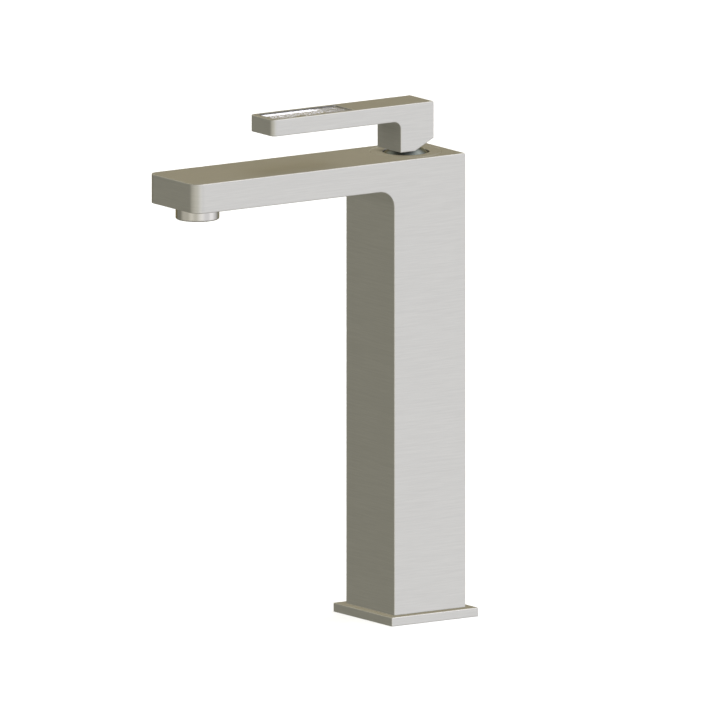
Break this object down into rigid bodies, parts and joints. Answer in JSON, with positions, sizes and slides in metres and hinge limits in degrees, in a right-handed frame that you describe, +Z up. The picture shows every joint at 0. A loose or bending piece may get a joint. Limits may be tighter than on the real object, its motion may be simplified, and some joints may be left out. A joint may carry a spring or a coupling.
{
  "type": "basin faucet",
  "caption": "Tall single-lever basin faucet with a square column, a flat flush spout, a round aerator and a slim lever with a clear insert.",
  "frame": {"origin": "centre of the two fixing studs on the foot's underside, which is level with the base plate's underside on the deck", "axes": "+Z up out of the deck, -Y from the column towards the spout's tip, +X to the right of someone who faces the tip of the spout"},
  "size_m": [0.0588, 0.189, 0.2941],
  "materials": {
    "brushed_nickel": "brushed nickel, fine straight grain",
    "polished_nickel": "polished nickel",
    "machined_brass": "plain machined brass",
    "stainless_steel": "plain stainless steel",
    "riser_brass": "drawn brass tube",
    "seal_rubber": "black moulded rubber",
    "cartridge_plastic": "white moulded plastic",
    "disc_ceramic": "lapped alumina ceramic",
    "aerator_plastic": "pale moulded plastic",
    "clear_crystal": "clear, rippled on top"
  },
  "bodies": {
    "column": {"faucet_body": "brushed_nickel", "base_plate": "brushed_nickel", "base_gasket": "seal_rubber", "base_screws": "stainless_steel", "foot_insert": "machined_brass", "hot_riser": "riser_brass", "cold_riser": "riser_brass", "riser_o_rings": "seal_rubber", "cartridge_base": "cartridge_plastic", "port_seals": "seal_rubber", "disc_seals": "seal_rubber", "fixed_disc": "disc_ceramic", "cartridge_housing": "cartridge_plastic", "cartridge_nut": "machined_brass", "trim_ring": "brushed_nickel", "ring_o_ring": "seal_rubber", "aerator_housing": "brushed_nickel", "aerator_washer": "seal_rubber", "aerator_body": "aerator_plastic", "flow_regulator": "aerator_plastic", "aerator_screen": "aerator_plastic"},
    "rotor": {"stem_guide": "cartridge_plastic", "pivot_pin": "stainless_steel", "guide_o_ring": "seal_rubber"},
    "disc": {"disc_carrier": "cartridge_plastic", "moving_disc": "disc_ceramic"},
    "lever": {"lever_stem": "machined_brass", "lever_handle": "brushed_nickel", "crystal_insert": "clear_crystal", "grub_screw": "stainless_steel", "dome_cap": "polished_nickel"}
  },
  "joints": [
    {"name": "lever_swivel", "type": "hinge", "parent": "column", "child": "rotor", "pos_m": [0, 0, 0.2524], "axis": [0, 0, 1], "range_deg": [-50, 50]},
    {"name": "lever_lift", "type": "hinge", "parent": "rotor", "child": "lever", "pos_m": [0, 0, 0.2524], "axis": [-1, 0, 0], "range_deg": [0, 25]},
    {"name": "disc_travel", "type": "slide", "parent": "rotor", "child": "disc", "axis": [0, -1, 0], "range_m": [0, 0.00549]}
  ],
  "couplings": [
    {"joint": "disc_travel", "follows": "lever_lift", "m_per_rad": 0.012591}
  ]
}
